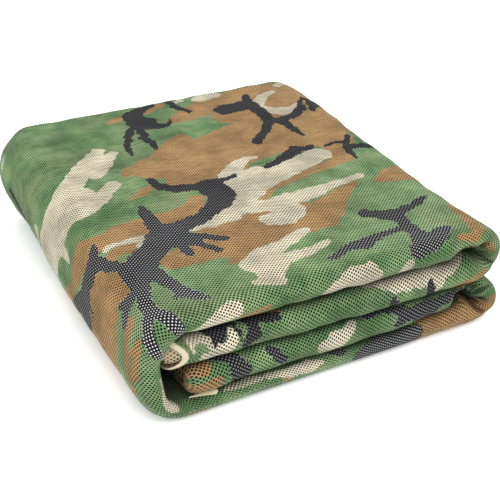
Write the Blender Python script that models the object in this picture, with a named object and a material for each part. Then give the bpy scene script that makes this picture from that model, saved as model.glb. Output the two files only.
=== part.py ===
"""Camouflage net, folded for storage: one sheet of printed mesh cloth.

The cloth is folded in half three times along its length, which makes a strip of
eight layers with one broad fold along the front.  The strip is then folded over
itself four panels high: it starts with a loose end inside the block, turns up at
the right, runs over the top, wraps round the whole left side, runs along the
ground, turns up at the right again and ends loose beside its own beginning.

Frame: X to the right along the front, Y from the front to the back, Z up, metres.
Origin: on the ground under the middle of the block.
"""

import math

import bmesh
import bpy
import numpy as np

# ---- Driving sizes, metres -------------------------------------------------
BLOCK_WIDTH = 0.340       # along X, before the sides are pushed out of true
BLOCK_DEPTH = 0.375       # along Y, to the first cut edge at the back
BLOCK_HEIGHT = 0.103
SHEET = 0.0014            # thickness of the cloth
LAYERS = 8                # layers of cloth in one panel of the strip
LAYER_PITCH = 0.0031      # from one layer to the next, in a panel of full height
PANEL_GAP = 0.0012        # air between two panels of the strip

# The order in which the sheet visits the layers of the strip, from its first
# edge at the back to its last.  The turns are at the front, the back, the
# front and so on, and none of them crosses another.
LAYER_ORDER = (1, 8, 5, 4, 3, 6, 7, 2)
EDGE_OVERHANG = 0.004     # how far the first cut edge stands past the back turns
EDGE_STEP = 0.002         # how much shorter the last cut edge lies

# Heights of the creases between the panels, along the front.
CREASE_TABLE = (
    # x,     first,  second, third crease
    (-0.170, 0.0790, 0.0485, 0.0175),
    (-0.110, 0.0785, 0.0500, 0.0180),
    (-0.060, 0.0780, 0.0495, 0.0205),
    (0.000, 0.0775, 0.0480, 0.0185),
    (0.060, 0.0775, 0.0480, 0.0190),
    (0.110, 0.0765, 0.0480, 0.0255),
    (0.170, 0.0765, 0.0490, 0.0300),
)

# The turns that join the panels.  Reach is how far a turn bulges past its own
# start, spacing is how close its layers lie as a part of the pitch, and a
# squareness of 2 is round.
TURN_TABLE = {
    # name:   (side, panels, reach, spacing, squareness, steps)
    "upper": (+1, (2, 1), 0.028, 0.74, 2.15, 6),
    "wrap": (-1, (1, 4), 0.036, 0.72, 2.35, 8),
    "lower": (+1, (4, 3), 0.034, 0.74, 2.15, 6),
}

# The two loose ends of the strip, inside the wrap.
LOOSE_X = -0.131
LOOSE_BULGE = 0.010       # how far their middle layers stand out past the outer ones
LOOSE_LENGTH = 0.050      # stretch of the panel over which the layers slip

# How far the sides are pushed out of true in plan, from the front to the back.
SIDE_TABLE = (
    # y,      left,    right side
    (-0.188, 0.0030, 0.0080),
    (-0.140, 0.0030, 0.0035),
    (-0.060, 0.0020, -0.0010),
    (0.040, 0.0020, 0.0010),
    (0.110, -0.0005, 0.0040),
    (0.188, -0.0120, 0.0080),
)

# The upright corners are drawn in along the last stretch of each side.
CORNER_TABLE = (
    # side, end, stretch
    (-1, +1, 0.056),
    (-1, -1, 0.024),
    (+1, +1, 0.022),
    (+1, -1, 0.018),
)
CORNER_SLOPE = 0.65       # no steeper, so that nested layers stay apart

# Both of these move a whole side and fade out between these distances from
# the middle.
SIDE_FADE = (-0.060, 0.125)

# Soft rises and hollows that the whole stack shares, as a part of its height.
SWELL_TABLE = (
    # x,      y,      width, depth, part
    (0.000, 0.230, 0.400, 0.110, -0.040),
    (0.200, -0.150, 0.070, 0.150, -0.060),
    (-0.120, 0.120, 0.060, 0.050, 0.012),
    (-0.020, -0.080, 0.080, 0.060, 0.010),
)

# Troughs (+) and bulges (-) of the front.
FRONT_TABLE = (
    # x,      z,     length, width, lean,  push
    (0.155, 0.073, 0.022, 0.012, -0.45, 0.0045),
    (0.160, 0.028, 0.020, 0.012, 0.30, 0.0045),
    (-0.157, 0.056, 0.016, 0.012, 0.30, 0.0025),
    (0.050, 0.052, 0.120, 0.016, 0.00, -0.0020),
    (0.040, 0.006, 0.200, 0.014, 0.00, 0.0020),
)
FRONT_FADE = 0.050        # how deep into the block these still reach

# Middle of the finished block, which its unevenness moves off the axes.
MIDDLE_X = 0.00616
MIDDLE_Y = -0.00047

# ---- How finely the sheet is cut -------------------------------------------
RUN_STEPS = 5             # along each panel
DEPTH_STEPS = 4           # from the back turns to the front ones
FRONT_STEPS = {7: 8, 5: 5, 3: 4, 1: 4}   # round a front turn, by layers it spans
BACK_STEPS = {3: 5, 1: 4}                # round a back turn


def smooth(value, low, high):
    """0 below low, 1 above high, and a soft step between."""
    part = np.clip((value - low) / (high - low), 0.0, 1.0)
    return part * part * (3.0 - 2.0 * part)


def panel_limits(x):
    """Top of the block, the three creases and the ground, as heights at x."""
    table = np.array(CREASE_TABLE)
    creases = [np.interp(x, table[:, 0], table[:, column]) for column in (1, 2, 3)]
    return [np.full_like(x, BLOCK_HEIGHT)] + creases + [np.zeros_like(x)]


def panel_spacing(x, panel):
    """How much of the full layer pitch the panel has room for at x."""
    limits = panel_limits(x)
    room = limits[panel - 1] - limits[panel] - SHEET - PANEL_GAP
    return room / ((LAYERS - 1) * LAYER_PITCH)


def panel_outer(x, panel):
    """Height of the strip's outermost layer in the panel at x."""
    limits = panel_limits(x)
    if panel == 1:
        return limits[0] - 0.5 * SHEET
    if panel == 2:
        return limits[2] + 0.5 * (SHEET + PANEL_GAP)
    if panel == 3:
        return limits[2] - 0.5 * (SHEET + PANEL_GAP)
    return limits[4] + 0.5 * SHEET


def run_points(x, depth, panel):
    """Places along a flat panel, at a depth into the strip."""
    way = -1.0 if panel in (1, 3) else 1.0
    z = panel_outer(x, panel) + way * panel_spacing(x, panel) * depth
    if panel in (2, 3):
        slip = 1.0 - smooth(x, LOOSE_X, LOOSE_X + LOOSE_LENGTH)
        across = depth / ((LAYERS - 1) * LAYER_PITCH)
        x = x - LOOSE_BULGE * slip * np.sin(math.pi * across)
    return x, z


def turn_start(name):
    """Where the turn leaves its first panel."""
    if name == "wrap":
        return -0.5 * (BLOCK_WIDTH - SHEET) + TURN_TABLE["wrap"][2]
    return 0.5 * (BLOCK_WIDTH - SHEET) - TURN_TABLE["upper"][2]


def turn_points(angle, depth, name):
    """Places round a turn that joins two panels, for an angle from 0 to pi."""
    side, panels, reach, spacing, squareness, _ = TURN_TABLE[name]
    start_x = np.full_like(angle, turn_start(name))
    z_first = panel_outer(start_x, panels[0])
    z_last = panel_outer(start_x, panels[1])
    share = 0.5 - 0.5 * np.cos(angle)
    close = (1.0 - share) * panel_spacing(start_x, panels[0])
    close += share * panel_spacing(start_x, panels[1])
    half = 0.5 * (z_first - z_last)
    half -= np.sign(half) * close * depth
    up = np.sign(np.cos(angle)) * np.abs(np.cos(angle)) ** (2.0 / squareness)
    out = np.abs(np.sin(angle)) ** (2.0 / squareness)
    x = start_x + side * (reach - spacing * depth) * out
    return x, 0.5 * (z_first + z_last) + half * up


def strip_section():
    """The strip's own section: y across the block and depth into the strip."""
    turn_depth = 0.5 * (LAYERS - 1) * LAYER_PITCH
    front = -0.5 * BLOCK_DEPTH + turn_depth + 0.5 * SHEET
    first_edge = 0.5 * BLOCK_DEPTH
    back = first_edge - EDGE_OVERHANG - 0.5 * max(BACK_STEPS) * LAYER_PITCH
    stations = np.linspace(back, front, DEPTH_STEPS + 1)
    points = [(first_edge, 0.0)]
    for place, layer in enumerate(LAYER_ORDER):
        depth = (layer - 1) * LAYER_PITCH
        to_front = place % 2 == 0
        points += [(y, depth) for y in (stations if to_front else stations[::-1])]
        if place == LAYERS - 1:
            break
        next_layer = LAYER_ORDER[place + 1]
        span = abs(next_layer - layer)
        steps = (FRONT_STEPS if to_front else BACK_STEPS)[span]
        middle = 0.5 * (layer + next_layer - 2) * LAYER_PITCH
        half = 0.5 * (layer - next_layer) * LAYER_PITCH
        turn_y = front if to_front else back
        way = -1.0 if to_front else 1.0
        for step in range(1, steps):
            angle = math.pi * step / steps
            points.append((turn_y + way * abs(half) * math.sin(angle),
                           middle + half * math.cos(angle)))
    points.append((first_edge - EDGE_STEP, depth))
    return np.array(points)


def strip_stations():
    """Every station along the strip: what to call, its panel or turn, its value."""
    wrap_x = turn_start("wrap")
    lobe_x = turn_start("upper")
    route = (
        (2, LOOSE_X, lobe_x, "upper"),
        (1, lobe_x, wrap_x, "wrap"),
        (4, wrap_x, lobe_x, "lower"),
        (3, lobe_x, LOOSE_X, None),
    )
    stations = []
    for panel, start, end, turn in route:
        for x in np.linspace(start, end, RUN_STEPS + 1):
            stations.append((run_points, panel, x))
        if turn:
            steps = TURN_TABLE[turn][5]
            for step in range(1, steps):
                stations.append((turn_points, turn, math.pi * step / steps))
    return stations


def draw_corners(x, y):
    """Draw the upright corners in, moving a whole wrap or turn with each."""
    moved = x.copy()
    for side, end, stretch in CORNER_TABLE:
        past = np.clip(end * y - (0.5 * BLOCK_DEPTH - stretch), 0.0, stretch)
        inset = 0.5 * CORNER_SLOPE * past * past / stretch
        moved -= side * inset * smooth(side * x, *SIDE_FADE)
    return moved


def shift_sides(x, y):
    """Push the left and the right side out of true, each as a whole."""
    table = np.array(SIDE_TABLE)
    left = np.interp(y, table[:, 0], table[:, 1]) * smooth(-x, *SIDE_FADE)
    right = np.interp(y, table[:, 0], table[:, 2]) * smooth(x, *SIDE_FADE)
    return x + left + right


def push_front(x, y, z):
    """Troughs and bulges of the front, fading into the block."""
    front = -0.5 * BLOCK_DEPTH
    near = 1.0 - smooth(y, front, front + FRONT_FADE)
    moved = y.copy()
    for at_x, at_z, length, width, lean, push in FRONT_TABLE:
        along = (x - at_x) * math.cos(lean) + (z - at_z) * math.sin(lean)
        across = (z - at_z) * math.cos(lean) - (x - at_x) * math.sin(lean)
        moved += near * push * np.exp(-(along / length) ** 2 - (across / width) ** 2)
    return moved


def swell(x, y, z):
    """Let the stack sag and swell softly, while the ground stays flat."""
    scale = np.ones_like(z)
    for at_x, at_y, width, depth, part in SWELL_TABLE:
        scale += part * np.exp(-((x - at_x) / width) ** 2 - ((y - at_y) / depth) ** 2)
    return 0.5 * SHEET + (z - 0.5 * SHEET) * scale


def middle_surface():
    """The middle of the cloth as a grid: stations along the strip by its section."""
    section = strip_section()
    rows = []
    for places, where, value in strip_stations():
        at = np.full(len(section), value)
        rows.append(places(at, section[:, 1], where))
    x = np.array([row[0] for row in rows])
    z = np.array([row[1] for row in rows])
    y = np.broadcast_to(section[:, 0], x.shape)
    x = shift_sides(draw_corners(x, y), y)
    y = push_front(x, y, z)
    z = swell(x, y, z)
    return np.stack([x - MIDDLE_X, y - MIDDLE_Y, z], axis=2)


def grid_normals(grid):
    """Unit normals of the grid, half-way between the cloth's neighbouring facets."""
    along = np.gradient(grid, axis=0)
    step = np.diff(grid, axis=1)
    step = step / np.linalg.norm(step, axis=2, keepdims=True)
    across = np.zeros_like(grid)
    across[:, :-1] += step
    across[:, 1:] += step
    normal = np.cross(along, across)
    return normal / np.linalg.norm(normal, axis=2, keepdims=True)


def thicken(grid):
    """Points and faces of the sheet at its full thickness, one closed body."""
    offset = 0.5 * SHEET * grid_normals(grid)
    rows, columns = grid.shape[:2]
    ring = 2 * columns
    rings = np.concatenate([grid + offset, (grid - offset)[:, ::-1]], axis=1)
    faces = []
    for row in range(rows - 1):
        here = row * ring
        ahead = here + ring
        for c in range(ring):
            n = (c + 1) % ring
            faces.append((here + c, here + n, ahead + n, ahead + c))
    last = (rows - 1) * ring
    for c in range(columns - 1):
        opposite = ring - 1 - c
        faces.append((opposite, opposite - 1, c + 1, c))
        faces.append((last + c, last + c + 1, last + opposite - 1, last + opposite))
    return rings.reshape(-1, 3), faces


def printed_mesh_cloth():
    """Matt printed mesh cloth, in its colour from afar."""
    material = bpy.data.materials.new("printed mesh cloth")
    material.use_nodes = True
    shader = material.node_tree.nodes["Principled BSDF"]
    shader.inputs["Base Color"].default_value = (0.085, 0.110, 0.055, 1.0)
    shader.inputs["Roughness"].default_value = 0.85
    shader.inputs["Metallic"].default_value = 0.0
    return material


def build_net():
    """The net, in its one piece."""
    points, faces = thicken(middle_surface())
    mesh = bpy.data.meshes.new("net")
    mesh.from_pydata(points.tolist(), [], faces)
    body = bmesh.new()
    body.from_mesh(mesh)
    bmesh.ops.recalc_face_normals(body, faces=body.faces)
    bmesh.ops.triangulate(body, faces=body.faces)
    body.to_mesh(mesh)
    body.free()
    mesh.materials.append(printed_mesh_cloth())
    mesh.shade_smooth()
    net = bpy.data.objects.new("net", mesh)
    bpy.context.scene.collection.objects.link(net)
    return net


def main():
    for thing in list(bpy.data.objects):
        bpy.data.objects.remove(thing, do_unlink=True)
    build_net()


if __name__ == "__main__":
    main()
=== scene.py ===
"""Folded camouflage net: one sheet of printed mesh cloth, packed for storage.

The sheet is folded in half three times along its length into a strip of eight
layers, and the strip is folded four panels high with one wrap round its left
side.  Cloth coordinates are metres on the flat sheet: u along the strip and v
along the net, from its first edge at the back.

Frame: X to the right along the front, Y from the front to the back, Z up, metres.
"""

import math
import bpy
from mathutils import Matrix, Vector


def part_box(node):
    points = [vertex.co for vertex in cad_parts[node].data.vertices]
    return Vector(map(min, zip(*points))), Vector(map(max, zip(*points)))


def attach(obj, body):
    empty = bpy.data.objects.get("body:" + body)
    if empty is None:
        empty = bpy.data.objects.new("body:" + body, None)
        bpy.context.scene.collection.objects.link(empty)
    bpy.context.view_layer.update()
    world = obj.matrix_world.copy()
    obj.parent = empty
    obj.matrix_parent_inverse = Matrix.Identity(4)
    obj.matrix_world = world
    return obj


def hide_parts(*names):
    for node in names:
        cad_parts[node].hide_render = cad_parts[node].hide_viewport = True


bl_info = {
    "name": "Folded Camouflage Net",
    "version": (1, 0, 0),
    "blender": (4, 5, 0),
    "location": "3D View > Sidebar > Net",
    "description": "A sheet of printed mesh cloth folded into a net packed for storage",
    "category": "Object",
}

import bpy
import numpy as np
from mathutils import Matrix, Vector

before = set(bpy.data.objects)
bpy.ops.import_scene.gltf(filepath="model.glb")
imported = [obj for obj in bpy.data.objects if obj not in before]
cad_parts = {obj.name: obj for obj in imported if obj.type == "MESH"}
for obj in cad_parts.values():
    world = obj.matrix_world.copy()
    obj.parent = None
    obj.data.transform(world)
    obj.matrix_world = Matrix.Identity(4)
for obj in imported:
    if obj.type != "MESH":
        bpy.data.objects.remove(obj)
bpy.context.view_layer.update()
net_low, net_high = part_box("net")

SHEET = 0.0014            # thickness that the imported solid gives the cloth
LAYERS = 8                # layers of cloth in one panel of the strip
LAYER_PITCH = 0.0031      # from one layer to the next, in a panel of full height
PANEL_GAP = 0.0012        # air between two panels of the strip
STRIP_DEPTH = (LAYERS - 1) * LAYER_PITCH   # from its first layer to its last

# The order in which the sheet visits the layers of the strip, from its first
# edge at the back to its last, with turns at the front, the back and so on.
LAYER_ORDER = (1, 8, 5, 4, 3, 6, 7, 2)
EDGE_OVERHANG = 0.004     # how far the first cut edge stands past the back turns
EDGE_STEP = 0.002         # how much shorter the last cut edge lies

# Heights of the creases between the panels, along the front.
CREASE_TABLE = (
    # x,     first,  second, third crease
    (-0.170, 0.0790, 0.0485, 0.0175),
    (-0.110, 0.0785, 0.0500, 0.0180),
    (-0.060, 0.0780, 0.0495, 0.0205),
    (0.000, 0.0775, 0.0480, 0.0185),
    (0.060, 0.0775, 0.0480, 0.0190),
    (0.110, 0.0765, 0.0480, 0.0255),
    (0.170, 0.0765, 0.0490, 0.0300),
)

# The turns that join the panels.  Reach is how far a turn bulges past its own
# start, spacing is how close its layers lie as a part of the pitch, and a
# squareness of 2 is round.
TURN_TABLE = {
    # name:   (side, panels, reach, spacing, squareness, steps)
    "upper": (+1, (2, 1), 0.028, 0.74, 2.15, 48),
    "wrap": (-1, (1, 4), 0.036, 0.72, 2.35, 50),
    "lower": (+1, (4, 3), 0.034, 0.74, 2.15, 50),
}
PANEL_STEPS = {1: 100, 2: 52, 3: 52, 4: 44}

# The two loose ends of the strip, inside the wrap.  One gapes: its front is
# drawn back and the layers inside stand out.  The other closes over its layers.
LOOSE_TABLE = {
    # panel: (x, front drawn back, layers out, rounded stretch, spacing left at the end)
    2: (-0.147, 0.007, 0.005, 0.006, 0.85),
    3: (-0.132, 0.000, -0.008, 0.009, 0.12),
}
LOOSE_LENGTH = 0.024      # stretch of the panel over which the layers slip
ROUND_STEPS = 7           # round a loose end
HEM = 0.0045              # plain woven edge at the first loose end, on its outer layers
HEM_NARROW = 0.35         # part of that width which it has before it widens
HEM_WIDENS = (0.366, 0.382)     # along v
HEM_SOFT = 0.0005         # half of its soft border
HEM_RISE = 0.0008

# How far the sides are pushed out of true in plan, from the front to the back.
SIDE_TABLE = (
    # y,      left,    right side
    (-0.188, -0.0010, 0.0070),
    (-0.140, -0.0015, 0.0025),
    (-0.060, -0.0025, -0.0015),
    (0.040, -0.0025, 0.0010),
    (0.110, -0.0022, 0.0040),
    (0.188, -0.0080, 0.0080),
)

# The upright corners are drawn in along the last stretch of each side.
CORNER_TABLE = (
    # side, end, stretch
    (-1, +1, 0.030),
    (-1, -1, 0.024),
    (+1, +1, 0.022),
    (+1, -1, 0.018),
)
CORNER_SLOPE = 0.65       # no steeper, so that nested layers stay apart
SIDE_LEAN = 0.011         # the left side's foot stands in this far at its back
LEAN_BELOW = (0.05, 0.60)       # upright above these parts of the height
LEAN_BEHIND = (-0.02, 0.16)     # and before these y

# What moves a whole side fades out between these distances from the middle.
SIDE_FADE = (-0.060, 0.125)

# Soft rises and hollows that the whole stack shares, as a part of its height.
SWELL_TABLE = (
    # x,      y,      width, depth, part
    (0.000, 0.230, 0.400, 0.110, -0.040),
    (0.200, -0.150, 0.070, 0.150, -0.060),
    (-0.120, 0.120, 0.060, 0.050, 0.012),
    (-0.020, -0.080, 0.080, 0.060, 0.010),
)

# Troughs (+) and bulges (-) of the front.
FRONT_TABLE = (
    # x,      z,     length, width, lean,  push
    (0.155, 0.073, 0.022, 0.012, -0.45, 0.0045),
    (0.160, 0.028, 0.020, 0.012, 0.30, 0.0045),
    (-0.157, 0.056, 0.016, 0.012, 0.30, 0.0025),
    (0.050, 0.052, 0.120, 0.016, 0.00, -0.0020),
    (0.040, 0.006, 0.200, 0.014, 0.00, 0.0020),
)
FRONT_FADE = 0.050        # how deep into the block these still reach

# Tucks of the cloth's own in the front of the two lobes, narrower than those.
TUCK_TABLE = (
    # x,      z,     length, width, lean,  push
    (0.132, 0.0805, 0.010, 0.0058, -0.20, 0.0200),
    (0.148, 0.0745, 0.014, 0.0034, -0.54, 0.0170),
    (0.149, 0.0875, 0.009, 0.0034, 0.10, 0.0080),
    (0.136, 0.0350, 0.010, 0.0066, -0.30, 0.0200),
    (0.146, 0.0425, 0.012, 0.0034, 0.30, 0.0150),
    (0.148, 0.0265, 0.014, 0.0036, -0.66, 0.0170),
)
TUCK_FADE = 0.040
TUCK_SHADE_STEP = (0.15, 0.95)     # parts of a tuck's depth between which painted shade comes in on it

# Soft ridges (+) and creases (-) on the cloth, in cloth coordinates.
FOLD_TABLE = (
    # u,     v,     length, width, heading, rise
    (0.650, 0.265, 0.060, 0.006, 1.50, -0.0009),
    (0.664, 0.290, 0.050, 0.006, 1.45, 0.0008),
    (0.640, 0.300, 0.040, 0.005, 1.60, 0.0007),
    (0.655, 0.075, 0.030, 0.010, 0.60, 0.0010),
    (0.640, 0.120, 0.030, 0.009, 2.20, -0.0009),
    (0.668, 0.110, 0.030, 0.009, 0.90, 0.0008),
    (0.590, 0.300, 0.030, 0.005, 0.20, 0.0007),
    (0.578, 0.316, 0.034, 0.005, 0.35, -0.0007),
    (0.566, 0.334, 0.030, 0.006, 0.50, 0.0006),
    (0.600, 0.180, 0.045, 0.007, 1.10, 0.0007),
    (0.540, 0.130, 0.045, 0.007, 1.20, -0.0006),
    (0.500, 0.215, 0.060, 0.008, 1.30, 0.0006),
    (0.450, 0.130, 0.050, 0.008, 0.90, 0.0006),
    (0.380, 0.225, 0.030, 0.006, 0.10, 0.0008),
    (0.372, 0.262, 0.032, 0.005, -0.15, -0.0008),
    (0.384, 0.290, 0.030, 0.006, -0.30, 0.0007),
    (0.366, 0.120, 0.030, 0.008, 0.30, 0.0008),
    (0.430, 0.345, 0.050, 0.007, 0.10, -0.0005),
)

# Small waves all over, drawn by chance.
RIPPLE_SEED = 11
RIPPLE_WAVES = 26
RIPPLE_LENGTHS = (0.022, 0.070)
RIPPLE_HEIGHT = 0.00042
RIPPLE_GROUND = (0.003, 0.014)   # they die out between these heights, towards the ground

# Where the top panel starts, in cloth coordinates.
TOP_START = 0.3565

# ---- How finely the sheet is cut ----
RUN_STEPS = {1: 120, 8: 12, 5: 4, 4: 4, 3: 4, 6: 4, 7: 6, 2: 10}   # along each layer
FRONT_STEPS = {7: 22, 5: 8, 3: 6, 1: 5}   # round a front turn, by layers it spans
BACK_STEPS = {3: 9, 1: 6}                 # round a back turn

# ---- The print, charted in millimetres of cloth ----
# Each stroke is a run of points (u, v, width of the stroke there).
EARTH = (
    ((351, 60, 40), (397, 66, 44), (439, 66, 40)), ((351, 30, 50), (402, 24, 46), (444, 30, 44)),
    ((353, 120, 70), (402, 125, 90), (444, 128, 84), (484, 140, 76), (524, 148, 74),
     (552, 146, 46), (574, 143, 22), (588, 149, 6)), ((508, 98, 20), (534, 114, 16)),
    ((489, 172, 30), (544, 178, 28)), ((371, 165, 40), (387, 190, 26)),
    ((382, 200, 22), (402, 209, 14), (444, 217, 11), (474, 226, 12), (494, 237, 18)),
    ((456, 36, 36), (484, 48, 26), (500, 55, 12)), ((496, 8, 14), (512, 18, 12)),
    ((544, 24, 12), (554, 30, 8)),
    ((546, 218, 14), (554, 231, 22), (572, 238, 24), (592, 238, 20)),
    ((610, 240, 26), (644, 247, 20), (664, 238, 28), (688, 236, 18)),
    ((692, 236, 10), (708, 224, 12), (720, 210, 12), (732, 202, 12)),
    ((404, 252, 8), (423, 262, 16), (448, 278, 30), (466, 296, 30), (494, 300, 24)),
    ((520, 288, 40), (564, 290, 44), (606, 304, 20)), ((504, 303, 16), (604, 308, 12)),
    ((538, 308, 20), (560, 320, 12), (566, 326, 4)),
    ((335, 248, 34), (357, 249, 26), (378, 254, 10)),
    ((664, 296, 52), (693, 297, 62), (727, 297, 62)), ((668, 344, 12), (680, 346, 11)),
    ((686, 349, 11), (720, 354, 13)), ((675, 361, 8), (706, 363, 7)),
    ((344, 322, 14), (350, 345, 14), (358, 366, 14)), ((361, 371, 10), (378, 368, 7)),
    ((572, 178, 9), (584, 186, 9), (598, 194, 4)), ((566, 383, 7), (586, 387, 6)),
    # under the edges of the other colours, where these meet
    ((618, 266, 18), (644, 270, 14)), ((588, 292, 20), (606, 300, 20)),
    ((508, 205, 26), (530, 216, 16)), ((548, 262, 12), (510, 268, 26), (474, 276, 30)),
)
SAND = (
    # the mitten on the left
    ((590, 90, 13), (608, 112, 21), (630, 138, 23), (650, 158, 30)),
    ((578, 99, 9), (594, 118, 16), (610, 138, 12)),
    ((602, 162, 14), (618, 176, 18), (638, 190, 24)),
    ((646, 172, 54), (676, 174, 52), (708, 160, 44), (728, 150, 40)),
    ((700, 127, 12), (728, 126, 16)), ((680, 200, 14), (681, 220, 3)),
    # the branch across the middle
    ((402, 186, 25), (433, 196, 27), (474, 210, 30), (510, 232, 26)),
    ((461, 166, 5), (472, 165, 9), (484, 173, 14), (498, 188, 22), (510, 208, 22)),
    ((474, 192, 20), (500, 204, 26)),
    ((388, 239, 8), (400, 244, 9), (428, 247, 11), (456, 252, 20), (484, 257, 22), (510, 252, 24)),
    ((482, 272, 26), (492, 278, 26), (504, 279, 22)),
    ((510, 240, 24), (530, 256, 20), (552, 261, 15), (584, 265, 4)),
    ((610, 258, 9), (646, 258, 5)), ((609, 262, 10), (622, 271, 6)),
    # the spill towards the front
    ((491, 307, 11), (510, 315, 13), (530, 323, 18)),
    ((481, 328, 7), (500, 335, 10), (520, 338, 14)), ((536, 328, 26), (552, 333, 22)),
    ((534, 338, 24), (546, 352, 22)), ((546, 360, 15), (562, 359, 9)),
    ((470, 382, 26), (484, 382, 26), (504, 388, 18)),
    ((595, 377, 16), (608, 382, 17), (626, 391, 12)), ((429, 380, 9), (435, 388, 10)),
    # the back right corner
    ((431, 5, 14), (450, 10, 17)), ((469, 4, 7), (479, 10, 8)), ((351, 9, 10), (358, 14, 10)),
    ((374, 29, 8), (388, 33, 13), (400, 46, 14), (404, 58, 11)),
    ((362, 69, 6), (371, 76, 12), (384, 80, 20), (396, 74, 16), (403, 60, 9)),
)
NIGHT = (
    # from the back edge
    ((502, 3, 9), (517, 10, 13), (527, 20, 21), (529, 40, 23)), ((516, 40, 14), (524, 46, 24)),
    ((508, 60, 8), (520, 56, 16)),
    ((534, 56, 9), (536, 72, 8), (540, 80, 9), (536, 93, 9), (538, 108, 4)),
    ((540, 52, 9), (554, 76, 8), (562, 94, 7), (564, 112, 4)),
    ((481, 2, 8), (482, 17, 8), (473, 38, 6)), ((498, 48, 4), (504, 57, 5)),
    # the runner near the back right corner
    ((404, 23, 7), (409, 40, 11)), ((412, 49, 24), (428, 51, 22), (438, 49, 26)),
    ((410, 60, 16), (409, 98, 15)), ((403, 100, 12), (397, 125, 9), (396, 144, 4)),
    ((411, 98, 12), (428, 119, 10), (445, 136, 10)),
    ((362, 70, 5), (365, 82, 11), (382, 96, 12), (402, 101, 16)),
    ((342, 62, 16), (349, 80, 14), (357, 92, 6)), ((351, 56, 5), (359, 66, 6)),
    # twigs beside the branch
    ((355, 163, 6), (367, 178, 8), (372, 192, 8), (372, 206, 5)), ((369, 173, 6), (385, 171, 6)),
    ((337, 190, 13), (353, 186, 9), (365, 183, 8)),
    ((398, 166, 6), (406, 170, 9), (418, 168, 15), (431, 176, 12), (448, 184, 9), (462, 189, 6)),
    # the long stem through the middle
    ((498, 192, 6), (510, 195, 9), (526, 199, 14)),
    ((568, 166, 7), (566, 181, 10), (554, 192, 12), (536, 198, 14)),
    ((526, 202, 28), (522, 220, 25), (532, 235, 22), (550, 246, 16), (566, 253, 18)),
    ((596, 209, 5), (596, 222, 11), (596, 244, 15)),
    ((560, 252, 14), (580, 256, 20), (594, 258, 26)),
    ((598, 262, 26), (610, 276, 24), (626, 290, 26), (636, 306, 27)),
    ((582, 270, 10), (554, 288, 8)), ((588, 275, 11), (566, 300, 8)),
    ((590, 276, 11), (590, 298, 9)), ((645, 290, 10), (654, 273, 12), (661, 259, 16)),
    ((652, 242, 5), (658, 255, 12)),
    ((664, 261, 18), (689, 260, 20), (708, 261, 24), (728, 258, 16)),
    ((702, 254, 22), (712, 240, 16), (728, 222, 8)), ((692, 266, 12), (700, 279, 3)),
    ((628, 308, 16), (620, 335, 13), (616, 346, 15), (606, 357, 8)),
    ((620, 344, 8), (626, 350, 4)), ((640, 305, 22), (643, 325, 14), (648, 345, 11)),
    ((648, 345, 11), (645, 360, 11), (644, 370, 11), (644, 379, 11), (642, 390, 12)),
    ((648, 347, 10), (653, 357, 10), (662, 364, 9), (670, 370, 10), (675, 377, 11)),
    ((646, 320, 7), (665, 322, 5)), ((646, 324, 12), (662, 330, 9), (672, 336, 8)),
    # the sprawl towards the front right
    ((358, 297, 5), (376, 306, 8), (402, 314, 11)),
    ((428, 303, 13), (417, 311, 16), (407, 320, 16)),
    ((407, 314, 16), (407, 336, 12), (409, 352, 14)),
    ((411, 338, 6), (438, 339, 8), (459, 346, 15), (474, 346, 9), (491, 353, 6)),
    ((379, 352, 8), (400, 362, 19), (419, 370, 17)), ((410, 350, 15), (415, 366, 18)),
    ((361, 386, 9), (371, 383, 7)),
    # round the back left corner
    ((696, 50, 8), (704, 61, 12), (714, 75, 11), (720, 92, 7)), ((720, 123, 6), (724, 132, 6)),
)
REPEAT = (412, 408)       # one repeat of this chart
REPEAT_DROP = 146         # each next repeat along u is shifted this far along v

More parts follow.
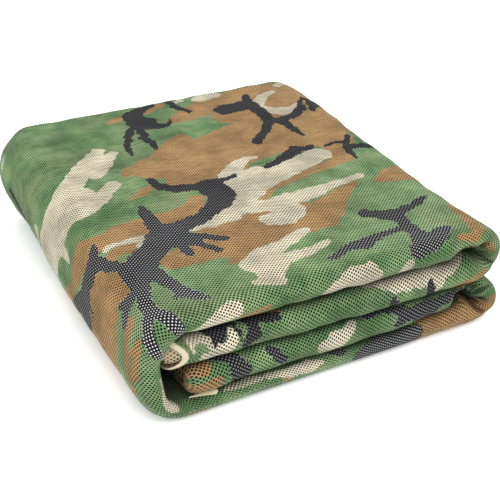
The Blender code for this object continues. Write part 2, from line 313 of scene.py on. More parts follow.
# Patches of the sheet with charts of their own: the faces of the three lower
# panels at the front, and the inside of the wrap.
PATCHES = (
    # start and end u, start and end v, then the strokes of each colour
    (-20, 292, 350, 412, {
        "earth": (
            ((71, 397, 7), (79, 395, 5)),
            ((248, 371, 4), (264, 374, 8), (276, 376, 7), (286, 377, 5))),
        "sand": (
            ((7, 401, 10), (2, 396, 11), (-4, 389, 7), (-5, 383, 5)),
            ((4, 393, 8), (11, 386, 8), (18, 379, 12)),
            ((3, 377, 5), (12, 375, 9), (23, 376, 12), (31, 383, 9), (34, 394, 6)),
            ((158, 397, 8), (172, 397, 14), (182, 391, 14)),
            ((184, 391, 14), (200, 390, 18), (228, 391, 20), (246, 394, 14), (262, 398, 8)),
            ((229, 375, 6), (231, 385, 10)), ((208, 383, 4), (214, 386, 8))),
        "night": (
            ((21, 403, 22), (21, 395, 20), (19, 388, 12), (17, 383, 4)),
            ((37, 399, 5), (38, 388, 4), (40, 378, 6)),
            ((44, 402, 9), (51, 395, 10), (51, 384, 10), (44, 376, 8)),
            ((58, 397, 8), (64, 393, 10), (74, 391, 7)),
            ((80, 402, 8), (110, 402, 5), (150, 403, 4)), ((183, 369, 10), (185, 377, 9)),
            ((221, 368, 10), (222, 378, 9), (222, 384, 6)), ((262, 402, 6), (292, 402, 6)),
            ((288, 399, 10), (278, 398, 7))),
    }),
    (1125, 1420, 350, 412, {
        "earth": (
            ((1410, 366, 16), (1402, 370, 14), (1395, 367, 6)),
            ((1410, 392, 20), (1402, 388, 16), (1392, 385, 13)), ((1139, 364, 8), (1152, 366, 6))),
        "sand": (
            ((1258, 367, 3), (1264, 371, 8), (1272, 377, 15), (1283, 380, 17), (1293, 381, 10)),),
        "night": (
            ((1381, 363, 14), (1375, 370, 13), (1372, 378, 16), (1369, 386, 18), (1375, 393, 12)),
            ((1343, 370, 5), (1337, 376, 9), (1331, 383, 7)),
            ((1252, 366, 4), (1244, 368, 5), (1236, 366, 4)), ((1212, 374, 9), (1217, 382, 6)),
            ((1228, 367, 5), (1216, 370, 10)),
            ((1140, 374, 10), (1160, 373, 9), (1190, 376, 14), (1212, 377, 12)),
            ((1152, 378, 9), (1142, 382, 11), (1133, 389, 11)), ((1184, 384, 12), (1198, 384, 8))),
    }),
    (735, 1125, 350, 412, {
        "earth": (
            ((768, 376, 6), (784, 376, 6)),
            ((1000, 380, 36), (1030, 380, 36), (1062, 380, 30), (1092, 378, 18)),
            ((858, 380, 6), (867, 383, 5))),
        "sand": (
            ((803, 393, 7), (820, 392, 8), (838, 391, 7)),
            ((846, 391, 5), (858, 388, 8), (868, 388, 12), (884, 387, 14), (896, 388, 5))),
        "night": (
            ((902, 397, 5), (918, 392, 8)),
            ((938, 379, 22), (955, 381, 32), (975, 382, 32), (986, 381, 26)),
            ((1056, 394, 7), (1066, 391, 8))),
    }),
    (296, 346, 382, 402, {
        "earth": (
            ((337, 380, 8), (329, 383, 8)),),
        "night": (
            ((372, 382, 5), (364, 384, 7), (354, 390, 7)),),
    }),
    (690, 800, 396, 470, {
        "sand": (
            ((704, 386, 5), (716, 388, 9), (728, 387, 14), (741, 387, 19), (748, 387, 17)),),
    }),
)
FLAP = ((776, 396, 1), (789, 395, 4), (799, 394, 7))   # a woven edge caught in the fold
# Painted shade where the cloth is pinched into the tucks of the two lobes: how dark, and the
# stroke.
PINCH_SHADES = (
    (1.00, ((372, 382, 5), (364, 383, 8), (352, 390, 8))),
    (1.00, ((262, 397, 5), (272, 397, 7), (284, 394, 5))),
    (1.00, ((284, 394, 4), (296, 385, 4), (298, 379, 3), (300, 372, 2))),
    (0.80, ((352, 390, 3), (346, 387, 1), (340, 384, 1))),
    (0.45, ((344, 392, 12), (320, 388, 14), (298, 389, 12))),
    (1.00, ((1137, 387, 5), (1130, 381, 4), (1123, 376, 3), (1117, 372, 2))),
    (1.00, ((1059, 391, 5), (1066, 388, 6), (1072, 388, 5))),
    (1.00, ((1061, 389, 5), (1066, 383, 4), (1071, 378, 3))),
    (0.40, ((1128, 390, 12), (1100, 393, 14), (1076, 390, 12))),
)
CHART_START = 0.320       # u at which the chart itself starts
PATCH_FADE = 0.008        # the chart ends over this stretch round a patch
FAR = 0.012               # printed edges further off than this need no number

# ---- Marks of the cloth ----
# A pair of lengths is the stretch of u or v over which a mark comes in, and a
# second pair is where it goes out again.  v grows towards the front.
SHADED_INNER_BACK = (-0.020, -0.012)  # inner layers show their own colours past here, as y from the back edge
SHADED_HOLES_BACK = (-0.030, -0.016)   # and holes are closed and painted with shade past here
SHADED_INNER_END = (0.020, 0.034)     # inner layers are painted with shade past here, as u from the loose end
UNDYED_END = (0.020, 0.030)     # and undyed before here

OPENING_BACK = 0.93       # the mesh is drawn less open towards the back
OPENING_FRONT = 0.10      # and more open over the front
OPENING_FRONT_V = (0.345, 0.370)
DRAWN, DRAWN_V = 0.75, (0.150, 0.330)               # drawn open towards the front
DRAWN_WRAP, DRAWN_WRAP_V = 0.80, (0.100, 0.290)     # and sooner beside the wrap
DRAWN_WRAP_U = (0.56, 0.66)

# Painted light on the pale threads below the stems: some at the back, more
# past the middle, with as much again beside the wrap, and more at the front.
LIT_BACK, LIT_MIDDLE, LIT_FRONT = 0.13, 0.12, 0.21
LIT_MIDDLE_V, LIT_MIDDLE_U = (0.16, 0.27), (0.53, 0.60)
LIT_FRONT_V, LIT_FRONT_U = (0.305, 0.350), (0.54, 0.62)
LIT_FRONT_AWAY = 0.70     # part of the front's painted light that is left away from the wrap
LIT_FACES = (
    # start and end u of a panel's front face, and its painted light
    (-0.10, 0.30, 0.12),
    (1.12, 1.50, 0.24),
    (0.80, 1.12, 0.38),
)
FACE_V, FACE_FADE = (0.352, 0.366), 0.01

# The two turns at the right, where the holes of the outer layers are closed and painted with
# shade.
LOBES_U = (((0.262, 0.274), (0.350, 0.366)), ((1.036, 1.048), (1.130, 1.142)))
CREASE_SHADE_V = (0.386, 0.400)      # painted shade of the fold below, on every face
MOUTH_V = ((0.340, 0.350), (0.362, 0.374))    # and of the fold above, on the inner panels
INNER_ENDS, INNER_STARTS = (0.255, 0.275), (1.130, 1.150)     # those panels, along u
PINCH_SOFT = (-0.0005, 0.0030)  # across the edge of a pinch
FOLD_SHADE = 0.72         # how much painted shade darkens the print where two folds press together
PAINTED_LIGHT_V = ((0.180, 0.300), (0.352, 0.368))    # painted light: where the leaf colour is paler, towards the front of the top


def smooth(value, low, high):
    """0 below low, 1 above high, and a soft step between."""
    part = np.clip((value - low) / (high - low), 0.0, 1.0)
    return part * part * (3.0 - 2.0 * part)


def band(value, comes, goes):
    """1 between the two stretches over which it comes in and goes out again."""
    return smooth(value, *comes) * (1.0 - smooth(value, *goes))


# ---- Folding ----
def panel_limits(x, height):
    """Top of the block, the three creases and the ground, as heights at x."""
    table = np.array(CREASE_TABLE)
    creases = [np.interp(x, table[:, 0], table[:, column]) for column in (1, 2, 3)]
    return [np.full_like(x, height)] + creases + [np.zeros_like(x)]


def panel_spacing(x, panel, height):
    """How much of the full layer pitch the panel has room for at x."""
    limits = panel_limits(x, height)
    room = limits[panel - 1] - limits[panel] - SHEET - PANEL_GAP
    return room / STRIP_DEPTH


def panel_outer(x, panel, height):
    """Height of the strip's outermost layer in the panel at x."""
    limits = panel_limits(x, height)
    if panel == 1:
        return limits[0] - 0.5 * SHEET
    if panel == 2:
        return limits[2] + 0.5 * (SHEET + PANEL_GAP)
    if panel == 3:
        return limits[2] - 0.5 * (SHEET + PANEL_GAP)
    return limits[4] + 0.5 * SHEET


def turn_start(name, width):
    """Where the turn leaves its first panel."""
    if name == "wrap":
        return -0.5 * (width - SHEET) + TURN_TABLE["wrap"][2]
    return 0.5 * (width - SHEET) - TURN_TABLE["upper"][2]


def run_points(x, depth, panel, sizes):
    """Places along a flat panel, at a depth into the strip."""
    way = -1.0 if panel in (1, 3) else 1.0
    spacing = panel_spacing(x, panel, sizes.height)
    return x, panel_outer(x, panel, sizes.height) + way * spacing * depth


def turn_points(angle, depth, name, sizes):
    """Places round a turn that joins two panels, for an angle from 0 to pi."""
    side, panels, reach, spacing, squareness, _ = TURN_TABLE[name]
    start_x = np.full_like(angle, turn_start(name, sizes.width))
    z_first = panel_outer(start_x, panels[0], sizes.height)
    z_last = panel_outer(start_x, panels[1], sizes.height)
    share = 0.5 - 0.5 * np.cos(angle)
    close = (1.0 - share) * panel_spacing(start_x, panels[0], sizes.height)
    close += share * panel_spacing(start_x, panels[1], sizes.height)
    half = 0.5 * (z_first - z_last)
    half -= np.sign(half) * close * depth
    up = np.sign(np.cos(angle)) * np.abs(np.cos(angle)) ** (2.0 / squareness)
    out = np.abs(np.sin(angle)) ** (2.0 / squareness)
    x = start_x + side * (reach - spacing * depth) * out
    return x, 0.5 * (z_first + z_last) + half * up


def front_turn(sizes):
    """Where the strip's front turns start."""
    return 0.5 * (STRIP_DEPTH + SHEET - sizes.depth)


def strip_section(sizes):
    """The strip's own section: y, depth into the strip, and 1 on layers under another."""
    front = front_turn(sizes)
    first_edge = 0.5 * sizes.depth
    back = first_edge - EDGE_OVERHANG - 0.5 * max(BACK_STEPS) * LAYER_PITCH
    points = []
    for place, layer in enumerate(LAYER_ORDER):
        depth = (layer - 1) * LAYER_PITCH
        under = 0.0 if layer in (1, LAYERS) else 1.0
        to_front = place % 2 == 0
        start = back if place else first_edge
        stations = np.linspace(start, front, RUN_STEPS[layer] + 1)
        stations = stations if to_front else stations[::-1]
        points += [(y, depth, under) for y in stations]
        if place == LAYERS - 1:
            break
        next_layer = LAYER_ORDER[place + 1]
        span = abs(next_layer - layer)
        steps = (FRONT_STEPS if to_front else BACK_STEPS)[span]
        middle = 0.5 * (layer + next_layer - 2) * LAYER_PITCH
        half = 0.5 * (layer - next_layer) * LAYER_PITCH
        turn_y = front if to_front else back
        way = -1.0 if to_front else 1.0
        under = 0.0 if span == LAYERS - 1 else 1.0
        for step in range(1, steps):
            angle = math.pi * step / steps
            points.append((turn_y + way * abs(half) * math.sin(angle),
                           middle + half * math.cos(angle), under))
    points.append((first_edge - EDGE_STEP, depth, 1.0))
    return np.array(points)


def pinch(section, part, sizes):
    """Draw the strip's section together round its middle, its turns included."""
    front, middle = front_turn(sizes), 0.5 * STRIP_DEPTH
    y, depth = section[:, 0], section[:, 1]
    return (np.where(y < front, front + part * (y - front), y),
            middle + part * (depth - middle))


def slip_along(section, x, panel):
    """How far each layer has slipped along the strip near a loose end."""
    if panel not in LOOSE_TABLE:
        return 0.0
    end_x, back, out = LOOSE_TABLE[panel][:3]
    near = 1.0 - smooth(x, end_x, end_x + LOOSE_LENGTH)
    across = section[:, 1] / STRIP_DEPTH
    return near * np.sin(math.pi * across) * np.where(section[:, 2] > 0.5, -out, back)


def end_part(x, panel):
    """How much of its spacing the strip keeps at x, less towards a loose end."""
    if panel not in LOOSE_TABLE:
        return 1.0
    end_x, _, _, stretch, left = LOOSE_TABLE[panel]
    share = min(max(1.0 - (x - end_x) / stretch, 0.0), 1.0)
    return left + (1.0 - left) * math.sqrt(1.0 - share * share)


def panel_stations(panel, lobe_x, wrap_x):
    """Where the strip is cut along a panel, close together round a loose end."""
    if panel not in LOOSE_TABLE:
        return np.linspace(lobe_x, wrap_x, PANEL_STEPS[panel] + 1)
    end_x, _, _, stretch, _ = LOOSE_TABLE[panel]
    turned = 0.5 * math.pi * np.arange(ROUND_STEPS) / ROUND_STEPS
    rounded = end_x + stretch * (1.0 - np.cos(turned))
    flat = np.linspace(end_x + stretch, lobe_x, PANEL_STEPS[panel] + 1)
    return np.concatenate([rounded, flat])


def strip_stations(sizes):
    """Every station along the strip: what to call, its panel or turn, its value."""
    wrap_x = turn_start("wrap", sizes.width)
    lobe_x = turn_start("upper", sizes.width)
    route = ((2, +1, "upper"), (1, +1, "wrap"), (4, -1, "lower"), (3, -1, None))
    stations = []
    for panel, way, turn in route:
        for x in panel_stations(panel, lobe_x, wrap_x)[::way]:
            stations.append((run_points, panel, x))
        if turn:
            steps = TURN_TABLE[turn][5]
            for step in range(1, steps):
                stations.append((turn_points, turn, math.pi * step / steps))
    return stations


def draw_corners(x, y, sizes):
    """Draw the upright corners in, moving a whole wrap or turn with each."""
    moved = x.copy()
    for side, end, stretch in CORNER_TABLE:
        past = np.clip(end * y - (0.5 * sizes.depth - stretch), 0.0, stretch)
        inset = 0.5 * CORNER_SLOPE * past * past / stretch
        moved -= side * inset * smooth(side * x, *SIDE_FADE)
    return moved


def shift_sides(x, y):
    """Push the left and the right side out of true, each as a whole."""
    table = np.array(SIDE_TABLE)
    left = np.interp(y, table[:, 0], table[:, 1]) * smooth(-x, *SIDE_FADE)
    right = np.interp(y, table[:, 0], table[:, 2]) * smooth(x, *SIDE_FADE)
    return x + left + right


def lean_side(x, y, z, height):
    """Let the foot of the left side stand in towards its back."""
    low = 1.0 - smooth(z / height, *LEAN_BELOW)
    return x + SIDE_LEAN * low * smooth(y, *LEAN_BEHIND) * smooth(-x, *SIDE_FADE)


def soft_ridge(x, y, at_x, at_y, length, width, heading=0.0):
    """1 on the middle of a ridge with this heading, fading out all round."""
    along = (x - at_x) * math.cos(heading) + (y - at_y) * math.sin(heading)
    across = (y - at_y) * math.cos(heading) - (x - at_x) * math.sin(heading)
    return np.exp(-(along / length) ** 2 - (across / width) ** 2)


def push_front(x, y, z, sizes):
    """Troughs, bulges and tucks of the front, fading into the block, and the painted shade of the
    tucks.
    """
    front = -0.5 * sizes.depth
    moved = y.copy()
    tuck_shade = np.zeros_like(y)
    for table, fade in ((FRONT_TABLE, FRONT_FADE), (TUCK_TABLE, TUCK_FADE)):
        near = 1.0 - smooth(y, front, front + fade)
        for *place, push in table:
            ridge = near * soft_ridge(x, z, *place)
            moved += push * ridge
            if table is TUCK_TABLE:
                tuck_shade = np.maximum(tuck_shade, smooth(ridge, *TUCK_SHADE_STEP))
    return moved, tuck_shade


def swell(x, y, z):
    """Let the stack sag and swell softly, while the ground stays flat."""
    scale = np.ones_like(z)
    for *place, part in SWELL_TABLE:
        scale += part * soft_ridge(x, y, *place)
    return 0.5 * SHEET + (z - 0.5 * SHEET) * scale


def cloth_relief(u, v):
    """How far the cloth stands out of its smooth folds."""
    chance = np.random.default_rng(RIPPLE_SEED)
    height = np.zeros_like(u)
    for _ in range(RIPPLE_WAVES):
        heading = chance.uniform(0.0, math.pi)
        length = chance.uniform(*RIPPLE_LENGTHS)
        shift = chance.uniform(0.0, 2.0 * math.pi)
        place = (u * math.cos(heading) + v * math.sin(heading)) / length
        height += np.sin(2.0 * math.pi * place + shift)
    height *= RIPPLE_HEIGHT / math.sqrt(RIPPLE_WAVES / 2.0)
    for *place, rise in FOLD_TABLE:
        height += rise * soft_ridge(u, v, *place)
    return height


def rumple(grid, u, v, section):
    """Raise the cloth's relief along its own normals, but not under the block."""
    across_v, across_u = np.gradient(grid, axis=(0, 1))
    normals = np.cross(across_u, across_v)
    normals /= np.maximum(np.linalg.norm(normals, axis=2, keepdims=True), 1e-12)
    relief = cloth_relief(*np.meshgrid(u, v)) + HEM_RISE * hem_share(u, v, section[:, 2:])
    relief *= smooth(grid[:, :, 2] - net_low.z, *RIPPLE_GROUND)
    return grid + relief[:, :, None] * normals


def path_length(across, up):
    """Distance along a path of points, from its first."""
    steps = np.hypot(np.diff(across), np.diff(up))
    return np.concatenate([[0.0], np.cumsum(steps)])


def folded_grid(sizes):
    """The folded cloth as a grid of places, its u and v, its section, and the painted shade of its
    tucks.
    """
    section = strip_section(sizes)
    stations = strip_stations(sizes)
    columns = []
    outer = []
    top_start = None
    for places, where, value in stations:
        if top_start is None and places is run_points and where == 1:
            top_start = len(columns)
        part = end_part(value, where)
        y, depth = pinch(section, part, sizes)
        x, z = places(np.full(len(section), value), depth, where, sizes)
        x = x + slip_along(section, value, where)
        columns.append((x, y, z))
        outer.append([place[0] for place in
                      places(np.array([value]), np.zeros(1), where, sizes)])
    x, y, z = np.transpose(np.array(columns), (1, 2, 0))
    outer = np.array(outer)
    u = path_length(outer[:, 0], outer[:, 1])
    u += TOP_START - u[top_start]
    v = path_length(section[:, 0], section[:, 1])
    x = shift_sides(draw_corners(x, y, sizes), y)
    y, tuck_shade = push_front(x, y, z, sizes)
    z = swell(x, y, z)
    x = x + 0.5 * (net_low.x + net_high.x) - 0.5 * (x.min() + x.max())
    x = lean_side(x, y, z, sizes.height)
    y = y + 0.5 * (net_low.y + net_high.y) - 0.5 * (y.min() + y.max())
    z = z + net_low.z
    return rumple(np.stack([x, y, z], axis=2), u, v, section), u, v, section, tuck_shade


# ---- Print ----
def stroke_distance(u, v, points):
    """Distance from the edge of a stroke, negative inside it, and FAR elsewhere."""
    points = 0.001 * np.array(points)
    places, half = points[:, :2], 0.5 * points[:, 2]
    reach = FAR + half.max()
    low = places.min(axis=0) - reach
    high = places.max(axis=0) + reach
    near = (u > low[0]) & (u < high[0]) & (v > low[1]) & (v < high[1])
    distance = np.full(u.shape, FAR)
    if not near.any():
        return distance
    here = np.stack([u[near], v[near]], axis=1)
    best = np.full(len(here), FAR)
    for first, last, wide, narrow in zip(places[:-1], places[1:], half[:-1], half[1:]):
        line = last - first
        share = np.clip(((here - first) @ line) / (line @ line), 0.0, 1.0)
        gap = np.linalg.norm(here - first - share[:, None] * line, axis=1)
        best = np.minimum(best, gap - wide - share * (narrow - wide))
    distance[near] = best
    return distance


def chart_distance(u, v, strokes):
    """Distance to the strokes of one colour, over all their repeats."""
    distance = np.full(u.shape, FAR)
    across, along = (0.001 * side for side in REPEAT)
    drop = 0.001 * REPEAT_DROP
    first_u = math.floor((u.min() - CHART_START) / across) - 1
    last_u = math.ceil((u.max() - CHART_START) / across)
    for column in range(first_u, last_u + 1):
        shifted_u = u - column * across
        for row in range(-2, math.ceil(v.max() / along) + 2):
            shifted_v = v - row * along - column * drop
            for points in strokes:
                distance = np.minimum(distance, stroke_distance(shifted_u, shifted_v, points))
    return distance


def print_distances(u, v):
    """Distance to the edge of each printed colour, over the whole sheet."""
    charts = {"earth": EARTH, "sand": SAND, "night": NIGHT}
    prints = {name: chart_distance(u, v, strokes) for name, strokes in charts.items()}
    for start_u, end_u, start_v, end_v, strokes in PATCHES:
        inside = np.ones_like(u)
        for value, start, end in ((u, start_u, end_u), (v, start_v, end_v)):
            start, end = 0.001 * start, 0.001 * end
            inside *= band(value, (start - PATCH_FADE, start), (end, end + PATCH_FADE))
        for name in prints:
            prints[name] = prints[name] + (FAR - prints[name]) * inside
        for name, runs in strokes.items():
            for points in runs:
                prints[name] = np.minimum(prints[name], stroke_distance(u, v, points))
    return prints


def hem_share(u, v, under):
    """1 on the plain woven edge of the outer layers, at the first loose end."""
    wide = HEM * (HEM_NARROW + (1.0 - HEM_NARROW) * smooth(v, *HEM_WIDENS))[:, None]
    return (1.0 - under) * (1.0 - smooth(u - u.min() - wide, -HEM_SOFT, HEM_SOFT))


def cloth_marks(u, v, section, tuck_shade, sizes):
    """Marks that the finish reads from the sheet, each a value from 0 to 1."""
    sheet, down = np.meshgrid(u, v), v[:, None]
    under, top = section[:, 2:], 1.0 - section[:, 2:]
    from_end, from_back = u - u.min(), section[:, :1] - 0.5 * sizes.depth
    drawn = np.maximum(DRAWN * smooth(down, *DRAWN_V),
                       DRAWN_WRAP * smooth(down, *DRAWN_WRAP_V) * smooth(u, *DRAWN_WRAP_U))
    # painted light on the pale threads below the stems, by place on the sheet
    painted_lit = LIT_BACK + LIT_MIDDLE * smooth(down, *LIT_MIDDLE_V) * (
        1.0 + smooth(u, *LIT_MIDDLE_U))
    painted_lit += LIT_FRONT * smooth(down, *LIT_FRONT_V) * (
        LIT_FRONT_AWAY + (1.0 - LIT_FRONT_AWAY) * smooth(u, *LIT_FRONT_U))
    for start, end, light in LIT_FACES:
        share = smooth(down, *FACE_V)
        share = share * band(u, (start - FACE_FADE, start), (end, end + FACE_FADE))
        painted_lit += share * (light - painted_lit)
    lobes = np.maximum(*(band(u, *stretches) for stretches in LOBES_U))
    inner = np.maximum(1.0 - smooth(u, *INNER_ENDS), smooth(u, *INNER_STARTS))
    # painted shade of the folds, the tucks and the pinches
    pressed = np.maximum(smooth(down, *CREASE_SHADE_V), band(down, *MOUTH_V) * inner)
    pressed = np.maximum(pressed, tuck_shade)
    for dark, points in PINCH_SHADES:
        near = 1.0 - smooth(stroke_distance(*sheet, points), *PINCH_SOFT)
        pressed = np.maximum(pressed, dark * near)
    return {
        # layers that only show through the holes of another, painted with shade
        "hidden": under * (1.0 - smooth(from_back, *SHADED_INNER_BACK)) * smooth(from_end, *SHADED_INNER_END),
        # the edge at the first loose end, and the undyed layers that show behind it
        "hem": hem_share(u, v, under),
        "flap": stroke_distance(*sheet, FLAP),
        "undyed": under * (1.0 - smooth(from_end, *UNDYED_END)),
        # how far the holes are drawn open, and the painted light on the pale
        # threads below them
        "opening": (OPENING_BACK + (1.0 - OPENING_BACK) * drawn
                    + OPENING_FRONT * smooth(down, *OPENING_FRONT_V)),
        "lit_below": painted_lit,
        # painted shade: in the closed holes of the lobes and near the back, and where two folds
        # press together
        "backed": np.maximum(top * lobes, smooth(from_back, *SHADED_HOLES_BACK)),
        "pressed": top * pressed,
        # painted light: paler leaf colour towards the front of the top
        "faded": top * band(down, *PAINTED_LIGHT_V) * np.ones_like(u),
    }


# ---- Finish ----
WHITE = (1.0, 1.0, 1.0, 1.0)

# A noise is given as its scale, detail and roughness, and a step by its ends.
FADED_NOISE, FADED_STEP = (26.0, 3.0, 0.6), (0.38, 0.62)    # moss in the leaf colour
PAINTED_LIGHT_MORE = 0.14         # so much more of it where painted light makes the front of the top paler
WORN_NOISE, WORN_STEP = (15.0, 2.0, 0.55), (0.54, 0.72)     # olive in both
WORN_SHARE = 0.36
PRINT_GRAINS = {"earth": 90.0, "sand": 100.0, "night": 130.0}   # how fine their edges tear
TEAR_NOISE = (3.0, 0.55)  # detail and roughness
RAGGEDNESS = 0.0085
PRINT_EDGE = 0.0002       # half of a printed edge's own softness
SHADE_NOISE, SHADE_STEP = (3.0, 0.6), (0.3, 0.7)
# Scale and depth of soft patches, of streaks along the strip and of single threads.
PATCH_SHADE, STREAK_SHADE, THREAD_SHADE = (30.0, 0.46), (130.0, 0.14), (1400.0, 0.40)
STREAK_STRETCH, STREAK_SLANT = 0.28, 0.35
STEM_TIGHTENS = 0.28      # how much smaller the holes are in the dark stems
REVERSE_PRINT = 0.30      # part of the print that shows on the reverse
HOLE_SOFT = 0.00008       # half of a hole's soft border
THREAD_WIDTH = 0.0006     # from a hole to the crown of the threads round it
THREAD_BUMP = 0.5
CLOTH_SURFACE = {
    "Roughness": 0.72, "Specular IOR Level": 0.04, "Sheen Weight": 0.01,
    "Sheen Roughness": 0.5}
PAPER_SURFACE = {"Roughness": 0.9, "Emission Color": WHITE, "Emission Strength": 0.14}


def set_inputs(node, values):
    """Set a node's own inputs by their names."""
    for title, value in values.items():
        node.inputs[title].default_value = value


class Wiring:
    """Adds and joins nodes in one node tree."""

    def __init__(self, tree):
        self.tree = tree

    def node(self, kind, inputs=(), **settings):
        """A new node, with values or links for its inputs, by their names or places."""
        made = self.tree.nodes.new(kind)
        for name, value in settings.items():
            setattr(made, name, value)
        for socket, value in dict(inputs).items():
            self.feed(made.inputs[socket], value)
        return made

    def feed(self, socket, value):
        if isinstance(value, bpy.types.NodeSocket):
            self.tree.links.new(value, socket)
        else:
            socket.default_value = value

    def math(self, operation, *values, clamp=False):
        made = self.node("ShaderNodeMath", enumerate(values), operation=operation,
                         use_clamp=clamp)
        return made.outputs[0]

    def times(self, first, second):
        return self.math("MULTIPLY", first, second)

    def less(self, value, part):
        """1 less this part of the value."""
        return self.math("MULTIPLY_ADD", value, -part, 1.0)

    def between(self, value, low, high):
        """0 below low, 1 above high, and a soft step between."""
        made = self.node("ShaderNodeMapRange", {
            "Value": value, "From Min": low, "From Max": high},
            interpolation_type="SMOOTHSTEP")
        return made.outputs["Result"]

    def inside(self, distance):
        """1 where the distance to a printed edge is negative."""
        return self.between(self.times(distance, -1.0), -PRINT_EDGE, PRINT_EDGE)

    def mix(self, share, first, second, blend="MIX"):
        made = self.node("ShaderNodeMix", {0: share, 6: first, 7: second},
                         data_type="RGBA", blend_type=blend)
        return made.outputs[2]

    def noise(self, vector, scale, detail, roughness):
        made = self.node("ShaderNodeTexNoise", {
            "Vector": vector, "Scale": scale, "Detail": detail, "Roughness": roughness})
        return made.outputs["Fac"]


def new_group(name, inputs, outputs):
    """A shader node group's wiring, its inputs after the cloth's place, its outputs."""
    group = bpy.data.node_groups.new(name, "ShaderNodeTree")
    group.interface.new_socket("Cloth", in_out="INPUT", socket_type="NodeSocketVector")
    for in_out, titles in (("INPUT", inputs), ("OUTPUT", outputs)):
        for title in titles:
            group.interface.new_socket(title, in_out=in_out, socket_type="NodeSocketFloat")
    given = group.nodes.new("NodeGroupInput").outputs
    return Wiring(group), given, group.nodes.new("NodeGroupOutput").inputs


def mesh_holes_group():
    """Rows of small holes, each row half a pitch out of step with the next."""
    wires, given, results = new_group(
        "mesh holes", ("Row Pitch", "Hole Pitch", "Slant", "Hole Width"),
        ("Cloth Share", "Thread Height"))
    split = wires.node("ShaderNodeSeparateXYZ", {0: given["Cloth"]}).outputs
    slanted = wires.math("MULTIPLY_ADD", split[0], given["Slant"], split[1])
    nearest = None
    for shift in (0.0, 0.5):
        squares = []
        for value, pitch in ((split[0], "Row Pitch"), (slanted, "Hole Pitch")):
            cell = wires.math("DIVIDE", value, given[pitch])
            cell = wires.math("FRACT", wires.math("ADD", cell, shift))
            offset = wires.times(wires.math("SUBTRACT", cell, 0.5), given[pitch])
            squares.append(wires.math("POWER", wires.math("ABSOLUTE", offset), 2.0))
        gap = wires.math("SQRT", wires.math("ADD", *squares))
        nearest = gap if nearest is None else wires.math("MINIMUM", nearest, gap)
    radius = wires.times(given["Hole Width"], 0.5)
    past = wires.math("SUBTRACT", nearest, radius)
    wires.feed(results["Cloth Share"], wires.between(past, -HOLE_SOFT, HOLE_SOFT))
    past = wires.math("DIVIDE", past, THREAD_WIDTH, clamp=True)
    wires.feed(results["Thread Height"], wires.math("SQRT", past))
    return wires.tree


def ragged_edge_group():
    """Share of a printed colour, with the torn edge of a hand-drawn print."""
    wires, given, results = new_group(
        "ragged edge", ("Distance", "Raggedness", "Grain"), ("Share",))
    tear = wires.noise(given["Cloth"], given["Grain"], *TEAR_NOISE)
    tear = wires.math("SUBTRACT", tear, 0.5)
    edge = wires.math("MULTIPLY_ADD", tear, given["Raggedness"], given["Distance"])
    wires.feed(results["Share"], wires.inside(edge))
    return wires.tree


